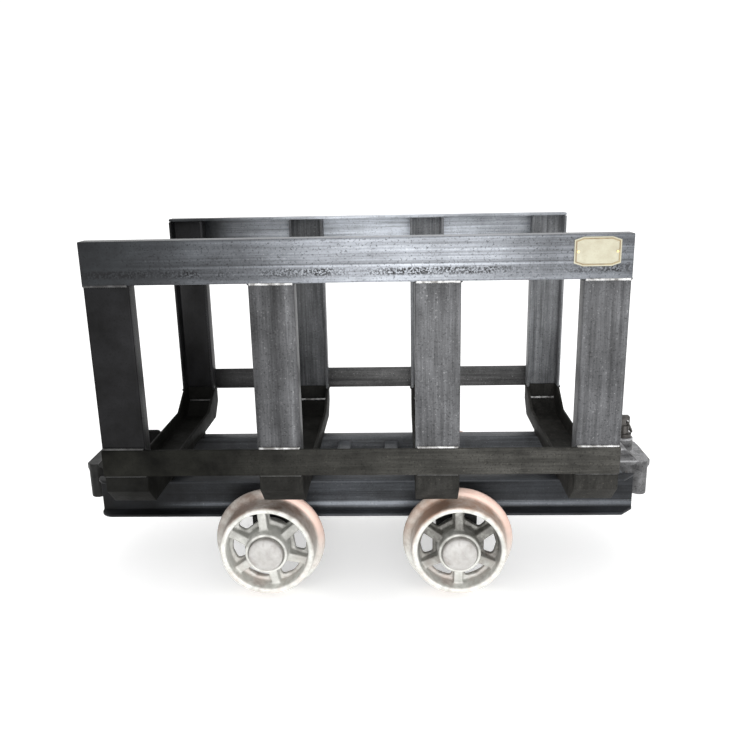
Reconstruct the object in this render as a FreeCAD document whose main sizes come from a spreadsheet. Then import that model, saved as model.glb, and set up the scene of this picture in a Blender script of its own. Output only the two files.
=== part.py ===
import FreeCAD, Part
import Sketcher
import math
import os

# Open-sided mine material cart for 600 mm track.
# Frame: X runs along the track, Y across it, Z up. The origin is on the floor plane under the
# wheel flanges, midway between the bumpers and between the two sides.

doc = FreeCAD.newDocument("mine_cart")
sheet = doc.addObject("Spreadsheet::Sheet", "dims")

sizes = {
    # stake body
    "overallHeight": 1150, "railLength": 1490, "railHeight": 120, "railFace": 460,
    "sectionDepth": 53, "webThick": 6, "flangeThick": 9, "cornerRound": 4,
    "postWidth": 126, "postTopGap": 1, "notchGap": 1, "kneeTop": 480,
    "barHeight": 80, "barThick": 10, "barTop": 552,
    # bows that join the posts under the load
    "packerThick": 10, "packerLength": 120, "packerWidth": 56, "kneeDrop": 59,
    "kneeSlope": 55, "kneeInner": 101,
    # chassis
    "sillLength": 1748, "sillHeight": 126, "sillBottom": 231, "sillTip": 230,
    "sillRound": 46, "sillCutWide": 44,
    "endBeamFace": 840, "midBeamAt": 110, "midBeamHeight": 100, "midBeamDepth": 48,
    # bumpers and coupling
    "bumperFace": 938, "bumperCrown": 12, "bumperHalf": 130, "bumperLow": 250, "bumperHigh": 370,
    "bumperRound": 24, "basePlate": 16, "baseHalf": 158, "neckHalf": 100, "jawHalf": 55,
    "jawLow": 288, "jawHigh": 334, "jawDepth": 88, "lipReach": 10, "lipHeight": 22,
    "lipStep": 6, "lipFlare": 24, "lipDrop": 8, "headLong": 45, "slopeFoot": 14, "crownHalf": 71.5,
    "baseRise": 4, "baseDrop": 3, "coverThick": 10, "cheekRelief": 10, "cheekCorner": 12,
    "cheekY": 110, "cheekThick": 12, "cheekTop": 416, "cheekBack": 752, "cheekSlope": 46,
    "pinAt": 888, "pinRadius": 15, "pinHole": 17, "bossRadius": 30, "bossTop": 418,
    "pinLow": 240, "pinTop": 494, "pinHead": 32, "pinHeadTall": 36, "collarRadius": 24,
    "pinEyeThick": 10, "pinEyeRound": 8, "pinPoint": 4, "collarGap": 0.2, "ringAt": 8, "ringDrop": 24,
    "collarTall": 12, "ringRadius": 19, "ringWire": 3.5, "ringHole": 6.5, "ringTilt": 24,
    "boltRadius": 9, "boltHead": 30, "boltHeadTall": 12, "boltReach": 40, "nutTall": 16,
    "boltY": 130, "boltRise": 33, "boltSlack": 0.5,
    # plate
    "plateAt": 649, "plateZ": 1104, "plateLong": 124, "plateTall": 78, "plateThick": 2,
    "plateWaist": 76, "plateShoulder": 62, "rivetRadius": 3.5, "rivetHead": 2, "rivetInset": 52,
    # running gear
    "wheelBase": 600, "treadRadius": 150, "treadFront": 148, "flangeRadius": 175,
    "flangeBack": 268, "flangeFront": 294, "rimFront": 365, "rimInner": 127, "rimEdge": 3,
    "discBack": 296, "discFront": 312, "hubRadius": 66, "hubBack": 250, "hubFront": 378,
    "windowInner": 86, "windowOuter": 116, "windowCrown": 119.5, "windowHalfAngle": 19, "windowRound": 9,
    "ribWidth": 28, "ribRootTop": 352, "ribEndTop": 334, "spokeCount": 6,
    "raceOuter": 45, "raceOuterIn": 40, "raceInnerOut": 30, "raceInner": 25, "raceWidth": 23,
    "innerRaceAt": 262, "outerRaceAt": 330, "rollerRadius": 4.95, "rollerLength": 18,
    "rollerCount": 14, "hubLand": 38, "capBore": 49, "sealBore": 38, "sealWidth": 9,
    "axleRadius": 30, "axleShoulder": 262, "journalEnd": 353, "threadRadius": 21, "axleEnd": 382,
    "nutFlats": 62, "nutThick": 19, "capRim": 53, "capFlange": 14, "capDome": 15,
    "capRecess": 57, "capSeat": 372,
    "capSpigot": 48.95, "capSpigotLong": 10, "capBoreRadius": 40, "capRoof": 1.5,
    "seatHalf": 66, "seatInner": 183, "seatOuter": 229, "seatBelow": 2,
    "uBoltRadius": 8, "uBoltHole": 8.5, "uBoltGap": 0.1, "uBoltTop": 264, "uNutFlats": 27, "uNutTall": 14,
}
for row, (alias, value) in enumerate(sizes.items(), start=1):
    sheet.set(f"A{row}", alias)
    sheet.set(f"B{row}", str(value))
    sheet.setAlias(f"B{row}", alias)
doc.recompute()

parts = []


def number(text):
    """The value of an expression over the sheet, as a plain number."""
    value = sheet.evalExpression(text)
    return float(getattr(value, "Value", value))


def bind(thing, **sizesOf):
    for name, text in sizesOf.items():
        thing.setExpression(name, text)


def keep(thing, label, place=None):
    """Name a finished sub-part, set it in the cart's frame and list it for writing."""
    thing.Label = label
    if place is not None:
        thing.Placement = place
    parts.append(thing)
    return thing


def at(x=0, y=0, z=0, turn=0, axis=(0, 0, 1)):
    return FreeCAD.Placement(FreeCAD.Vector(x, y, z), FreeCAD.Rotation(FreeCAD.Vector(*axis), turn))


# ---------------------------------------------------------------- sketch and feature helpers
def originPlane(body, role):
    return [feature for feature in body.Origin.OriginFeatures if feature.Role == role][0]


def pin(sketch, geometry, end, xText, yText, tag):
    """Tie one point of a sketch to two expressions over the sheet."""
    for kind, text, axis, name in (("DistanceX", xText, -2, "x"), ("DistanceY", yText, -1, "y")):
        value = number(text)
        if abs(value) < 1e-9:
            sketch.addConstraint(Sketcher.Constraint("PointOnObject", geometry, end, axis))
            continue
        index = sketch.addConstraint(Sketcher.Constraint(kind, -1, 1, geometry, end, value))
        sketch.renameConstraint(index, f"{name}{tag}")
        sketch.setExpression(f"Constraints.{name}{tag}", text)


def outline(body, name, role, corners, lift=None):
    """A closed sketch of straight sides whose corners are pairs of expressions."""
    sketch = body.newObject("Sketcher::SketchObject", name)
    sketch.AttachmentSupport = (originPlane(body, role), "")
    sketch.MapMode = "FlatFace"
    if lift is not None:
        sketch.setExpression("AttachmentOffset.Base.z", lift)
    points = [FreeCAD.Vector(number(x), number(y), 0) for x, y in corners]
    count = len(points)
    for index in range(count):
        sketch.addGeometry(Part.LineSegment(points[index], points[(index + 1) % count]), False)
    for index in range(count):
        sketch.addConstraint(Sketcher.Constraint("Coincident", index, 2, (index + 1) % count, 1))
    for index, (x, y) in enumerate(corners):
        pin(sketch, index, 1, x, y, index)
    doc.recompute()
    return sketch


def roundHole(body, name, role, xText, yText, radiusText, lift=None):
    sketch = body.newObject("Sketcher::SketchObject", name)
    sketch.AttachmentSupport = (originPlane(body, role), "")
    sketch.MapMode = "FlatFace"
    if lift is not None:
        sketch.setExpression("AttachmentOffset.Base.z", lift)
    centre = FreeCAD.Vector(number(xText), number(yText), 0)
    sketch.addGeometry(Part.Circle(centre, FreeCAD.Vector(0, 0, 1), number(radiusText)), False)
    index = sketch.addConstraint(Sketcher.Constraint("Radius", 0, number(radiusText)))
    sketch.renameConstraint(index, "radius")
    sketch.setExpression("Constraints.radius", radiusText)
    pin(sketch, 0, 3, xText, yText, "c")
    doc.recompute()
    return sketch


def pad(body, name, sketch, lengthText):
    feature = body.newObject("PartDesign::Pad", name)
    feature.Profile = sketch
    feature.setExpression("Length", lengthText)
    doc.recompute()
    return feature


def pocket(body, name, sketch, lengthText):
    """A cut along the sketch's normal, checked by volume."""
    before = body.Shape.Volume
    feature = body.newObject("PartDesign::Pocket", name)
    feature.Profile = sketch
    feature.Reversed = True
    feature.setExpression("Length", lengthText)
    doc.recompute()
    if body.Shape.Volume > before - 0.01:
        raise ValueError(f"{name} cuts nothing")
    return feature


def turned(body, name, sketch):
    feature = body.newObject("PartDesign::Revolution", name)
    feature.Profile = sketch
    feature.ReferenceAxis = (sketch, ["V_Axis"])
    feature.Angle = 360
    doc.recompute()
    return feature


def spread(body, name, features, axisRole, count, angle=None, lengthText=None):
    """Repeat features round an axis, or along it when a length is given."""
    kind = "PartDesign::PolarPattern" if lengthText is None else "PartDesign::LinearPattern"
    pattern = body.newObject(kind, name)
    pattern.Originals = features
    axis = (originPlane(body, axisRole), [""])
    if lengthText is None:
        pattern.Axis = axis
        pattern.Angle = angle
    else:
        pattern.Direction = axis
        pattern.setExpression("Length", lengthText)
    pattern.setExpression("Occurrences", count)
    body.Tip = pattern
    doc.recompute()
    return pattern


def soften(body, name, radiusText, wanted, kind="Fillet"):
    """Round or chamfer the edges that the test picks out."""
    base = body.Tip
    names = [f"Edge{index}" for index, edge in enumerate(base.Shape.Edges, start=1) if wanted(edge)]
    if not names:
        raise ValueError(f"{name} finds no edge")
    feature = body.newObject(f"PartDesign::{kind}", name)
    feature.Base = (base, names)
    feature.setExpression("Radius" if kind == "Fillet" else "Size", radiusText)
    doc.recompute()
    return feature


def runsAlong(edge, axis):
    """True for a straight edge parallel to X, Y or Z (axis 0, 1 or 2)."""
    if len(edge.Vertexes) != 2 or edge.Curve.TypeId != "Part::GeomLine":
        return False
    span = edge.Vertexes[1].Point - edge.Vertexes[0].Point
    return abs(abs(span[axis]) - edge.Length) < 1e-6


def middle(edge):
    return edge.BoundBox.Center


def near(value, goal):
    return abs(value - goal) < 0.01


def newBody(name):
    return doc.addObject("PartDesign::Body", name)


# ---------------------------------------------------------------- stake body
def channelCorners(widthText, depthText):
    """C section: web along the first axis at zero depth, flanges toward +depth."""
    half = f"({widthText}) / 2"
    inner = f"({widthText}) / 2 - dims.flangeThick"
    web = "dims.webThick"
    return [(f"-{half}", "0"), (half, "0"), (half, depthText), (inner, depthText), (inner, web),
            (f"-({inner})", web), (f"-({inner})", depthText), (f"-{half}", depthText)]


def makePost(name, place):
    body = newBody(name)
    section = outline(body, name + "_section", "XY_Plane",
                      channelCorners("dims.postWidth", "dims.sectionDepth"))
    pad(body, name + "_pad", section,
        "dims.overallHeight - dims.flangeThick - dims.postTopGap - dims.kneeTop")
    soften(body, name + "_corners", "dims.cornerRound",
           lambda edge: runsAlong(edge, 2) and near(middle(edge).y, 0))
    return keep(body, name, place)


def makeRail(name, place):
    """Top rail: web outside, lower flange notched so the posts stand inside it."""
    body = newBody(name)
    low, high, deep = "-dims.railHeight / 2", "dims.railHeight / 2", "dims.sectionDepth"
    lowIn, highIn = "dims.flangeThick - dims.railHeight / 2", "dims.railHeight / 2 - dims.flangeThick"
    section = outline(body, name + "_section", "YZ_Plane",
                      [("0", low), (deep, low), (deep, lowIn), ("dims.webThick", lowIn),
                       ("dims.webThick", highIn), (deep, highIn), (deep, high), ("0", high)],
                      "-dims.railLength / 2")
    pad(body, name + "_pad", section, "dims.railLength")
    left = "-dims.railLength / 2 - dims.notchGap"
    right = "dims.postWidth + dims.notchGap - dims.railLength / 2"
    notch = outline(body, name + "_notch", "XY_Plane",
                    [(left, "dims.webThick"), (right, "dims.webThick"),
                     (right, "dims.sectionDepth + 1"), (left, "dims.sectionDepth + 1")],
                    "-dims.railHeight / 2 - 1")
    cut = pocket(body, name + "_notch_cut", notch, "dims.flangeThick + 2")
    spread(body, name + "_notches", [cut], "X_Axis", "4", lengthText="dims.railLength - dims.postWidth")
    soften(body, name + "_corners", "dims.cornerRound",
           lambda edge: runsAlong(edge, 0) and near(middle(edge).y, 0))
    return keep(body, name, place)


def makeBow(name, place):
    """Bottom bow: an upturned channel whose ends rise through a knee to meet two posts."""
    body = newBody(name)
    face = "(dims.railFace - dims.webThick)"
    tip = f"({face} - dims.sectionDepth)"
    low = "(dims.sillBottom + dims.sillHeight + dims.packerThick)"
    kneeLow = "(dims.kneeTop - dims.kneeDrop)"
    foot = f"({face} - dims.kneeSlope)"
    inner = f"({tip} - dims.kneeInner)"
    lip = f"({low} + dims.sectionDepth)"
    right = [(face, "dims.kneeTop"), (tip, "dims.kneeTop"), (inner, lip)]
    left = [(f"-{inner}", lip), (f"-{tip}", "dims.kneeTop"), (f"-{face}", "dims.kneeTop")]
    under = [(f"-{face}", kneeLow), (f"-{foot}", low), (foot, low), (face, kneeLow)]
    solid = outline(body, name + "_side", "YZ_Plane", right + left + under, "-dims.postWidth / 2")
    pad(body, name + "_pad", solid, "dims.postWidth")
    web = "dims.webThick"
    over = "(dims.kneeTop + 20)"
    hollow = outline(body, name + "_hollow", "YZ_Plane",
                     [(f"{face} - {web}", over), (f"{web} - {face}", over),
                      (f"{web} - {face}", f"{kneeLow} + {web} / 2"),
                      (f"{web} / 2 - {foot}", f"{low} + {web}"),
                      (f"{foot} - {web} / 2", f"{low} + {web}"),
                      (f"{face} - {web}", f"{kneeLow} + {web} / 2")],
                     "dims.flangeThick - dims.postWidth / 2")
    pocket(body, name + "_trough", hollow, "dims.postWidth - 2 * dims.flangeThick")
    return keep(body, name, place)


def makeBar(name, place):
    bar = doc.addObject("Part::Box", name)
    bind(bar, Length="dims.railLength", Width="dims.barThick", Height="dims.barHeight")
    return keep(bar, name, place)


postPitch = (sizes["railLength"] - sizes["postWidth"]) / 3
postPlaces = [postPitch * (index - 1.5) for index in range(4)]
postFace = sizes["railFace"] - sizes["webThick"]
railMiddle = sizes["overallHeight"] - sizes["railHeight"] / 2
barLow = sizes["barTop"] - sizes["barHeight"]

for index, along in enumerate(postPlaces, start=1):
    makePost(f"post_{index}_near", at(along, -postFace, sizes["kneeTop"]))
    makePost(f"post_{index}_far", at(along, postFace, sizes["kneeTop"], 180))
    makeBow(f"bow_{index}", at(along))
makeRail("top_rail_near", at(0, -sizes["railFace"], railMiddle))
makeRail("top_rail_far", at(0, sizes["railFace"], railMiddle, 180))
makeBar("side_bar_near", at(-sizes["railLength"] / 2, -postFace - sizes["barThick"], barLow))
makeBar("side_bar_far", at(-sizes["railLength"] / 2, postFace, barLow))


def group(name, things):
    """Identical small pieces that share one node, each a solid of its own."""
    bundle = doc.addObject("Part::Compound", name)
    bundle.Links = things
    doc.recompute()
    return keep(bundle, name)


def makePackers():
    """Flat packers between the sills and the bows."""
    plates = []
    for along in postPlaces:
        for side in (-1, 1):
            plate = doc.addObject("Part::Box", "packer")
            bind(plate, Length="dims.packerLength", Width="dims.packerWidth", Height="dims.packerThick")
            inboard = sizes["sillTip"] - sizes["packerWidth"] / 2
            plate.Placement = at(along - sizes["packerLength"] / 2,
                                 side * inboard - sizes["packerWidth"] / 2,
                                 sizes["sillBottom"] + sizes["sillHeight"])
            plates.append(plate)
    return group("bow_packers", plates)


makePackers()


# ---------------------------------------------------------------- chassis
def makeSill(name, place):
    """Sill channel, open outward, with its flanges' corners trimmed and the axle bolts' holes."""
    body = newBody(name)
    low, high = "dims.sillBottom", "(dims.sillBottom + dims.sillHeight)"
    lowIn, highIn = f"{low} + dims.flangeThick", f"{high} - dims.flangeThick"
    deep, web = "-dims.sectionDepth", "-dims.webThick"
    section = outline(body, name + "_section", "YZ_Plane",
                      [("0", low), (deep, low), (deep, lowIn), (web, lowIn),
                       (web, highIn), (deep, highIn), (deep, high), ("0", high)],
                      "-dims.sillLength / 2")
    pad(body, name + "_pad", section, "dims.sillLength")
    end = sizes["sillLength"] / 2
    tip = -sizes["sectionDepth"]
    for kind, size, feature, x in (("rounded", "dims.sillRound", "Fillet", -end),
                                   ("sloped", "dims.sillCutWide", "Chamfer", end)):
        soften(body, f"{name}_{kind}_end", size,
               lambda edge: runsAlong(edge, 2) and near(middle(edge).y, tip) and near(middle(edge).x, x),
               feature)
    holeAt = f"{deep} / 2 - dims.webThick / 2"
    for side, sign in (("left", "-"), ("right", "")):
        for leg, step in (("a", "-"), ("b", "+")):
            legAt = f"{sign}dims.wheelBase / 2 {step} (dims.axleRadius + dims.uBoltRadius + dims.uBoltGap)"
            hole = roundHole(body, f"{name}_{side}_{leg}", "XY_Plane", legAt, holeAt,
                             "dims.uBoltHole", f"{low} - 1")
            pocket(body, f"{name}_{side}_{leg}_cut", hole, "dims.flangeThick + 2")
    return keep(body, name, place)


def boltHoles(body, name, lift, depth, middleZ):
    """Four holes along X for the bumper's bolts."""
    for side, across in (("near", "-dims.boltY"), ("far", "dims.boltY")):
        for level, rise in (("low", f"{middleZ} - dims.boltRise"), ("high", f"{middleZ} + dims.boltRise")):
            hole = roundHole(body, f"{name}_{side}_{level}", "YZ_Plane", across, rise,
                             "dims.boltRadius + dims.boltSlack", lift)
            pocket(body, f"{name}_{side}_{level}_cut", hole, depth)


def makeCross(name, heightText, depthText, place, bolted=False):
    """Cross member between the sill webs: a channel whose web faces local -X."""
    body = newBody(name)
    section = outline(body, name + "_section", "XZ_Plane",
                      [(y, x) for x, y in channelCorners(heightText, depthText)],
                      "dims.sectionDepth - dims.sillTip")
    length = "2 * (dims.sillTip - dims.sectionDepth)"
    pad(body, name + "_pad", section, length)
    if bolted:
        boltHoles(body, name, "-1", "dims.webThick + 2", "0")
    return keep(body, name, place)


sillMiddle = sizes["sillBottom"] + sizes["sillHeight"] / 2
sillBack = sizes["sillTip"] - sizes["sectionDepth"]
makeSill("sill_near", at(0, -sillBack))
makeSill("sill_far", at(0, sillBack, 0, 180))
makeCross("end_beam_left", "dims.sillHeight", "dims.sectionDepth",
          at(-sizes["endBeamFace"], 0, sillMiddle), True)
makeCross("end_beam_right", "dims.sillHeight", "dims.sectionDepth",
          at(sizes["endBeamFace"], 0, sillMiddle, 180), True)
makeCross("mid_beam_left", "dims.midBeamHeight", "dims.midBeamDepth",
          at(-sizes["midBeamAt"], 0, sillMiddle))
makeCross("mid_beam_right", "dims.midBeamHeight", "dims.midBeamDepth",
          at(sizes["midBeamAt"], 0, sillMiddle, 180))


# ---------------------------------------------------------------- bumpers and coupling pin
def block(body, name, role, corners, lift, length):
    return pad(body, name, outline(body, name + "_outline", role, corners, lift), length)


def makeBumper(name, place):
    """Cast bumper head: base plate, neck, jawed head with a lip, two cheeks and a pin boss."""
    body = newBody(name)
    back = "dims.endBeamFace"
    neckBack = "(dims.endBeamFace + dims.basePlate)"
    face = "dims.bumperFace"
    headBack = f"({face} - dims.headLong)"
    front = f"({face} + dims.bumperCrown)"
    half, crownHalf = "dims.bumperHalf", "dims.crownHalf"
    block(body, name + "_neck", "XY_Plane",
          [(back, "-dims.neckHalf"), (headBack, "-dims.neckHalf"), (face, f"-{half}"),
           (front, f"-{crownHalf}"), (front, crownHalf), (face, half),
           (headBack, "dims.neckHalf"), (back, "dims.neckHalf")],
          "dims.bumperLow", "dims.bumperHigh - dims.bumperLow")
    upright = {sizes["bumperFace"], sizes["bumperFace"] + sizes["bumperCrown"]}
    soften(body, name + "_rounded", "dims.bumperRound",
           lambda edge: runsAlong(edge, 2) and any(near(middle(edge).x, x) for x in upright))
    lip = "dims.lipReach"
    block(body, name + "_lip", "XY_Plane",
          [(headBack, f"-{crownHalf}"), (f"{front} - dims.lipStep", f"-({crownHalf} + dims.lipFlare)"),
           (f"{front} + {lip}", f"-{crownHalf}"), (f"{front} + {lip}", crownHalf),
           (f"{front} - dims.lipStep", f"{crownHalf} + dims.lipFlare"), (headBack, crownHalf)],
          "dims.bumperHigh - dims.lipHeight - dims.lipDrop", "dims.lipHeight")
    baseLow = "dims.sillBottom + dims.baseRise"
    baseHigh = "dims.sillBottom + dims.sillHeight - dims.baseDrop"
    block(body, name + "_base", "YZ_Plane",
          [("-dims.baseHalf", baseLow), ("dims.baseHalf", baseLow),
           ("dims.baseHalf", baseHigh), ("-dims.baseHalf", baseHigh)], back, "dims.basePlate")
    slopeFoot = f"({headBack} + dims.slopeFoot)"
    top, deck = "dims.cheekTop", "(dims.sillBottom + dims.sillHeight)"
    cheek = [("dims.cheekBack", deck), (headBack, deck), (slopeFoot, "dims.bumperHigh"),
             (f"{slopeFoot} - dims.cheekSlope", top), ("dims.cheekBack + dims.cheekRelief", top),
             ("dims.cheekBack", f"{top} - dims.cheekCorner")]
    for side, lift in (("near", "dims.cheekY - dims.cheekThick / 2"),
                       ("far", "-dims.cheekY - dims.cheekThick / 2")):
        block(body, f"{name}_cheek_{side}", "XZ_Plane", cheek, lift, "dims.cheekThick")
    underside = "dims.bumperHigh - dims.coverThick"
    cover = [(f"{slopeFoot} - dims.cheekSlope", top), (slopeFoot, "dims.bumperHigh"),
             (slopeFoot, underside), (back, underside), (back, top)]
    block(body, name + "_cover", "XZ_Plane", cover, "-dims.cheekY", "2 * dims.cheekY")
    boss = roundHole(body, name + "_boss_circle", "XY_Plane", "dims.pinAt", "0", "dims.bossRadius",
                     underside)
    pad(body, name + "_boss", boss, "dims.bossTop - dims.bumperHigh + dims.coverThick")
    jaw = outline(body, name + "_jaw", "XZ_Plane",
                  [(f"{front} - dims.jawDepth", "dims.jawLow"), (f"{front} + 2 * {lip}", "dims.jawLow"),
                   (f"{front} + 2 * {lip}", "dims.jawHigh"), (f"{front} - dims.jawDepth", "dims.jawHigh")],
                  "-dims.jawHalf")
    pocket(body, name + "_jaw_cut", jaw, "2 * dims.jawHalf")
    hole = roundHole(body, name + "_pin_hole", "XY_Plane", "dims.pinAt", "0", "dims.pinHole",
                     "dims.bumperLow - 1")
    pocket(body, name + "_pin_cut", hole, "dims.bossTop - dims.bumperLow + 2")
    boltHoles(body, name, f"{back} - 1", "dims.basePlate + 2", "dims.sillBottom + dims.sillHeight / 2")
    return keep(body, name, place)


def makePin():
    """Coupling pin: shank, collar that stops on the boss, and a flat eye at the top."""
    body = newBody("coupling_pin")
    eyeLow = "dims.pinTop - dims.pinHeadTall"
    shank = roundHole(body, "pin_circle", "XY_Plane", "0", "0", "dims.pinRadius", "dims.pinLow")
    pad(body, "pin_shank", shank, f"{eyeLow} - dims.pinLow")
    collar = roundHole(body, "pin_collar_circle", "XY_Plane", "0", "0", "dims.collarRadius",
                       "dims.bossTop + dims.collarGap")
    pad(body, "pin_collar", collar, "dims.collarTall")
    wide, high = "dims.pinHead / 2", "dims.pinTop"
    block(body, "pin_eye", "XZ_Plane",
          [(f"-{wide}", f"{eyeLow} - 1"), (wide, f"{eyeLow} - 1"), (wide, high), (f"-{wide}", high)],
          "-dims.pinEyeThick / 2", "dims.pinEyeThick")
    soften(body, "pin_eye_corners", "dims.pinEyeRound",
           lambda edge: runsAlong(edge, 1) and near(middle(edge).z, sizes["pinTop"]))
    hole = roundHole(body, "pin_ring_hole", "XZ_Plane", "dims.ringAt", "dims.pinTop - dims.ringDrop",
                     "dims.ringHole", "-dims.pinEyeThick")
    pocket(body, "pin_ring_cut", hole, "2 * dims.pinEyeThick")
    soften(body, "pin_point", "dims.pinPoint",
           lambda edge: edge.Curve.TypeId == "Part::GeomCircle" and near(middle(edge).z, sizes["pinLow"]),
           "Chamfer")
    return keep(body, "coupling_pin", at(sizes["pinAt"]))


def makePinRing():
    ring = doc.addObject("Part::Torus", "pin_ring")
    bind(ring, Radius1="dims.ringRadius", Radius2="dims.ringWire")
    hinge = FreeCAD.Vector(sizes["pinAt"] + sizes["ringAt"], 0, sizes["pinTop"] - sizes["ringDrop"])
    hang = FreeCAD.Rotation(FreeCAD.Vector(0, 1, 0), 90 - sizes["ringTilt"])
    reach = hang.multVec(FreeCAD.Vector(sizes["ringRadius"], 0, 0))
    return keep(ring, "pin_ring", FreeCAD.Placement(hinge + reach, hang))


def hexPiece(name, flatsText, heightText, place):
    nut = doc.addObject("Part::Prism", name)
    nut.Polygon = 6
    bind(nut, Circumradius=f"{flatsText} / sqrt(3)", Height=heightText)
    nut.Placement = place
    return nut


def rod(name, radiusText, heightText, place):
    round_ = doc.addObject("Part::Cylinder", name)
    bind(round_, Radius=radiusText, Height=heightText)
    round_.Placement = place
    return round_


def joined(name, things):
    whole = doc.addObject("Part::MultiFuse", name)
    whole.Shapes = things
    return whole


def without(name, base, tool):
    rest = doc.addObject("Part::Cut", name)
    rest.Base = base
    rest.Tool = tool
    return rest


def makeBumperBolts():
    """Eight hexagon bolts through the base plates and end beams, and their nuts."""
    bolts, nuts = [], []
    seat = sizes["endBeamFace"] + sizes["basePlate"]
    for end in (-1, 1):
        for side in (-1, 1):
            for level in (-1, 1):
                y, z = side * sizes["boltY"], sillMiddle + level * sizes["boltRise"]
                outward = at(end * seat, y, z, end * 90, (0, 1, 0))
                inward = at(end * seat, y, z, -end * 90, (0, 1, 0))
                head = hexPiece("bolt_head", "dims.boltHead", "dims.boltHeadTall", outward)
                shank = rod("bolt_shank", "dims.boltRadius", "dims.boltReach", inward)
                bolts.append(joined("bumper_bolt", [head, shank]))
                inner = at(end * (sizes["endBeamFace"] - sizes["webThick"]), y, z, -end * 90, (0, 1, 0))
                blank = hexPiece("nut_blank", "dims.boltHead", "dims.nutTall", inner)
                bore = rod("nut_bore", "dims.boltRadius", "dims.nutTall", inner)
                nuts.append(without("bumper_nut", blank, bore))
    group("bumper_bolts", bolts)
    group("bumper_nuts", nuts)


makeBumper("bumper_right", at())
makeBumper("bumper_left", at(0, 0, 0, 180))
makePin()
makePinRing()
makeBumperBolts()


# ---------------------------------------------------------------- number plate, left blank
def makePlate():
    body = newBody("blank_plate")
    tipX, shoulder = "dims.plateLong / 2", "dims.plateShoulder / 2"
    waist, high = "dims.plateWaist / 2", "dims.plateTall / 2"
    block(body, "plate_sheet", "XZ_Plane",
          [(tipX, f"-{shoulder}"), (tipX, shoulder), (waist, high), (f"-{waist}", high),
           (f"-{tipX}", shoulder), (f"-{tipX}", f"-{shoulder}"), (f"-{waist}", f"-{high}"),
           (waist, f"-{high}")], "0", "dims.plateThick")
    for side, x in (("left", "-dims.rivetInset"), ("right", "dims.rivetInset")):
        hole = roundHole(body, f"plate_hole_{side}", "XZ_Plane", x, "0", "dims.rivetRadius / 2", "-1")
        pocket(body, f"plate_cut_{side}", hole, "dims.plateThick + 2")
    return keep(body, "blank_plate", at(sizes["plateAt"], -sizes["railFace"], sizes["plateZ"]))


def makeRivets():
    rivets = []
    for side in (-1, 1):
        where = at(sizes["plateAt"] + side * sizes["rivetInset"],
                   -sizes["railFace"] - sizes["plateThick"], sizes["plateZ"], 90, (1, 0, 0))
        head = rod("rivet_head", "dims.rivetRadius", "dims.rivetHead", where)
        inward = FreeCAD.Placement(where.Base, FreeCAD.Rotation(FreeCAD.Vector(1, 0, 0), -90))
        shank = rod("rivet_shank", "dims.rivetRadius / 2", "dims.plateThick", inward)
        rivets.append(joined("plate_rivet", [head, shank]))
    group("plate_rivets", rivets)


makePlate()
makeRivets()


# ---------------------------------------------------------------- running gear
# Every wheel piece is drawn with local Z pointing outward along its axle, from the cart's middle.
def wheelPlace(end, side, turn=0):
    outward = FreeCAD.Rotation(FreeCAD.Vector(1, 0, 0), -90 * side)
    spin = FreeCAD.Rotation(FreeCAD.Vector(0, 0, 1), turn)
    centre = FreeCAD.Vector(end * sizes["wheelBase"] / 2, 0, sizes["flangeRadius"])
    return FreeCAD.Placement(centre, outward * spin)


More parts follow.
